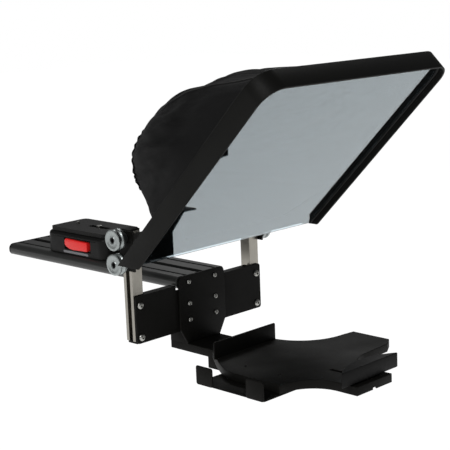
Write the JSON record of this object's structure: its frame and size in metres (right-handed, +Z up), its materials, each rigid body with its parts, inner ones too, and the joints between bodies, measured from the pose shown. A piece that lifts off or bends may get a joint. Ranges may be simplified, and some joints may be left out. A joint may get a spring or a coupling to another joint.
{
  "type": "teleprompter",
  "caption": "Tablet teleprompter: half-mirror glass in a U-shaped band frame with a soft hood, on slotted posts over a base rail with a sliding camera mount and a folded tablet tray.",
  "frame": {"origin": "centre of the tripod face on the underside of the base rail", "axes": "+Y runs along the rail from the talent's side back to the camera operator, +Z is up, and +X is to the operator's right"},
  "size_m": [0.358, 0.7118, 0.4356],
  "materials": {
    "rail": "black anodised extrusion",
    "black_anodised": "black anodised",
    "black_paint": "fine satin black powder coat",
    "black_plastic": "moulded",
    "stainless": "brushed lengthways",
    "turned_aluminium": "turned, fine concentric rings",
    "steel": "zinc plated",
    "rubber": "matt",
    "fabric": "black woven cloth",
    "red_plastic": "satin",
    "glass": "half-mirror coated front face"
  },
  "bodies": {
    "base": {"base_rail": "rail", "rail_rear_cap": "black_plastic", "tripod_insert_large": "steel", "tripod_insert_small": "steel", "cross_bar": "black_paint", "post_left": "stainless", "post_right": "stainless", "post_cap_left": "black_plastic", "post_cap_right": "black_plastic", "tablet_tray": "black_paint", "bar_screw_left_upper": "steel", "bar_nut_left_upper": "steel", "bar_screw_left_lower": "steel", "bar_nut_left_lower": "steel", "bar_screw_right_upper": "steel", "bar_nut_right_upper": "steel", "bar_screw_right_lower": "steel", "bar_nut_right_lower": "steel", "plate_screw_left_top": "steel", "plate_screw_left_middle": "steel", "plate_screw_left_bottom": "steel", "plate_screw_right_top": "steel", "plate_screw_right_middle": "steel", "plate_screw_right_bottom": "steel"},
    "head": {"glass_frame": "black_anodised", "beam_splitter_glass": "glass", "glass_gasket": "rubber", "hood": "fabric", "bracket_left": "black_paint", "bracket_right": "black_paint", "bracket_screw_left_lower": "steel", "bracket_screw_left_upper": "steel", "bracket_screw_right_lower": "steel", "bracket_screw_right_upper": "steel", "clamp_nut_left_lower": "steel", "clamp_nut_left_upper": "steel", "clamp_nut_right_lower": "steel", "clamp_nut_right_upper": "steel"},
    "knob_left_lower": {"knob_left_lower": "turned_aluminium", "knob_stud_left_lower": "steel"},
    "knob_left_upper": {"knob_left_upper": "turned_aluminium", "knob_stud_left_upper": "steel"},
    "knob_right_lower": {"knob_right_lower": "turned_aluminium", "knob_stud_right_lower": "steel"},
    "knob_right_upper": {"knob_right_upper": "turned_aluminium", "knob_stud_right_upper": "steel"},
    "side_stop": {"side_stop": "black_paint"},
    "stop_screw_rear": {"stop_screw_rear": "turned_aluminium"},
    "stop_screw_front": {"stop_screw_front": "turned_aluminium"},
    "front_jaw": {"front_jaw": "black_plastic"},
    "jaw_screw": {"jaw_screw": "turned_aluminium"},
    "camera_mount": {"mount_block": "black_anodised", "mount_t_nut": "steel", "mount_bolt_front": "steel", "mount_bolt_rear": "steel", "lever_pin": "steel"},
    "release_lever": {"release_lever": "red_plastic"},
    "camera_plate": {"camera_plate": "black_anodised", "register_pin": "steel"},
    "camera_screw": {"camera_screw": "steel"}
  },
  "joints": [
    {"name": "head_height", "type": "slide", "parent": "base", "child": "head", "axis": [0, 0, 1], "range_m": [-0.03, 0.001]},
    {"name": "knob_left_lower_turn", "type": "hinge", "parent": "head", "child": "knob_left_lower", "pos_m": [-0.15, -0.1877, 0.0538], "axis": [-1, 0, 0], "continuous": true},
    {"name": "knob_left_upper_turn", "type": "hinge", "parent": "head", "child": "knob_left_upper", "pos_m": [-0.15, -0.1877, 0.0881], "axis": [-1, 0, 0], "continuous": true},
    {"name": "knob_right_lower_turn", "type": "hinge", "parent": "head", "child": "knob_right_lower", "pos_m": [0.15, -0.1877, 0.0538], "axis": [1, 0, 0], "continuous": true},
    {"name": "knob_right_upper_turn", "type": "hinge", "parent": "head", "child": "knob_right_upper", "pos_m": [0.15, -0.1877, 0.0881], "axis": [1, 0, 0], "continuous": true},
    {"name": "side_stop_slide", "type": "slide", "parent": "base", "child": "side_stop", "axis": [1, 0, 0], "range_m": [-0.025, 0.02]},
    {"name": "stop_screw_rear_turn", "type": "hinge", "parent": "base", "child": "stop_screw_rear", "pos_m": [-0.058, -0.341, -0.09], "axis": [0, 0, -1], "continuous": true},
    {"name": "stop_screw_front_turn", "type": "hinge", "parent": "base", "child": "stop_screw_front", "pos_m": [-0.058, -0.402, -0.09], "axis": [0, 0, -1], "continuous": true},
    {"name": "front_jaw_slide", "type": "slide", "parent": "base", "child": "front_jaw", "axis": [0, 1, 0], "range_m": [-0.002, 0.05]},
    {"name": "jaw_screw_turn", "type": "hinge", "parent": "front_jaw", "child": "jaw_screw", "pos_m": [0, -0.498, -0.09], "axis": [0, 0, -1], "continuous": true},
    {"name": "camera_mount_slide", "type": "slide", "parent": "base", "child": "camera_mount", "axis": [0, 1, 0], "range_m": [-0.14, 0.085]},
    {"name": "release_lever_turn", "type": "hinge", "parent": "camera_mount", "child": "release_lever", "pos_m": [-0.033, 0.0075, 0.035], "axis": [0, 0, 1], "range_deg": [0, 55]},
    {"name": "camera_plate_slide", "type": "slide", "parent": "camera_mount", "child": "camera_plate", "axis": [0, 1, 0], "range_m": [0, 0.06]},
    {"name": "camera_screw_turn", "type": "hinge", "parent": "camera_plate", "child": "camera_screw", "pos_m": [0, 0.0215, 0.05], "axis": [0, 0, -1], "continuous": true}
  ]
}
